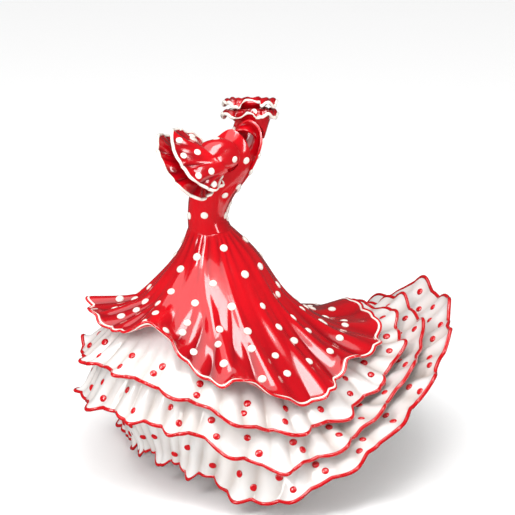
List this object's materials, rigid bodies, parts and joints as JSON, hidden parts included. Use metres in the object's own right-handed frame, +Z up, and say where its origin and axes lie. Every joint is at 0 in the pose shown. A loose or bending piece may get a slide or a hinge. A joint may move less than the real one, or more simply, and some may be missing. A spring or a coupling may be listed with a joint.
{
  "type": "flamenco dress",
  "caption": "Hollow flamenco dress of a dancer figurine: fitted low-backed bodice, ruffled sleeves, swept flared skirt and tiered flounces with rolled, piped hems.",
  "frame": {"origin": "the middle of the waist, where the wearer holds the dress up", "axes": "+Z up along the wearer's body, +X towards the wearer's back, +Y towards the wearer's right"},
  "size_m": [0.2271, 0.2232, 0.2203],
  "materials": {
    "red_lacquer": "high gloss red, hand painted",
    "white_lacquer": "satin pearl white, shaded in the pleats",
    "ivory_lacquer": "gloss ivory"
  },
  "bodies": {
    "root": {"skirt_front": "red_lacquer", "skirt_left": "red_lacquer", "skirt_back": "red_lacquer", "skirt_right": "red_lacquer", "skirt_hem_binding": "ivory_lacquer", "flounce_1_front": "white_lacquer", "flounce_1_left": "white_lacquer", "flounce_1_back": "white_lacquer", "flounce_1_right": "white_lacquer", "flounce_1_piping": "red_lacquer", "flounce_2_front": "white_lacquer", "flounce_2_left": "white_lacquer", "flounce_2_back": "white_lacquer", "flounce_2_right": "white_lacquer", "flounce_2_piping": "red_lacquer", "flounce_3_front": "white_lacquer", "flounce_3_left": "white_lacquer", "flounce_3_back": "white_lacquer", "flounce_3_right": "white_lacquer", "flounce_3_piping": "red_lacquer", "bodice_front": "red_lacquer", "bodice_back_left": "red_lacquer", "bodice_back_right": "red_lacquer", "sleeve_left": "red_lacquer", "sleeve_left_upper_ruffle": "red_lacquer", "sleeve_left_upper_trim": "ivory_lacquer", "sleeve_left_lower_ruffle": "red_lacquer", "sleeve_left_lower_trim": "ivory_lacquer", "sleeve_right": "red_lacquer", "sleeve_right_upper_ruffle": "red_lacquer", "sleeve_right_upper_trim": "ivory_lacquer", "sleeve_right_lower_ruffle": "red_lacquer", "sleeve_right_lower_trim": "ivory_lacquer"}
  },
  "joints": []
}
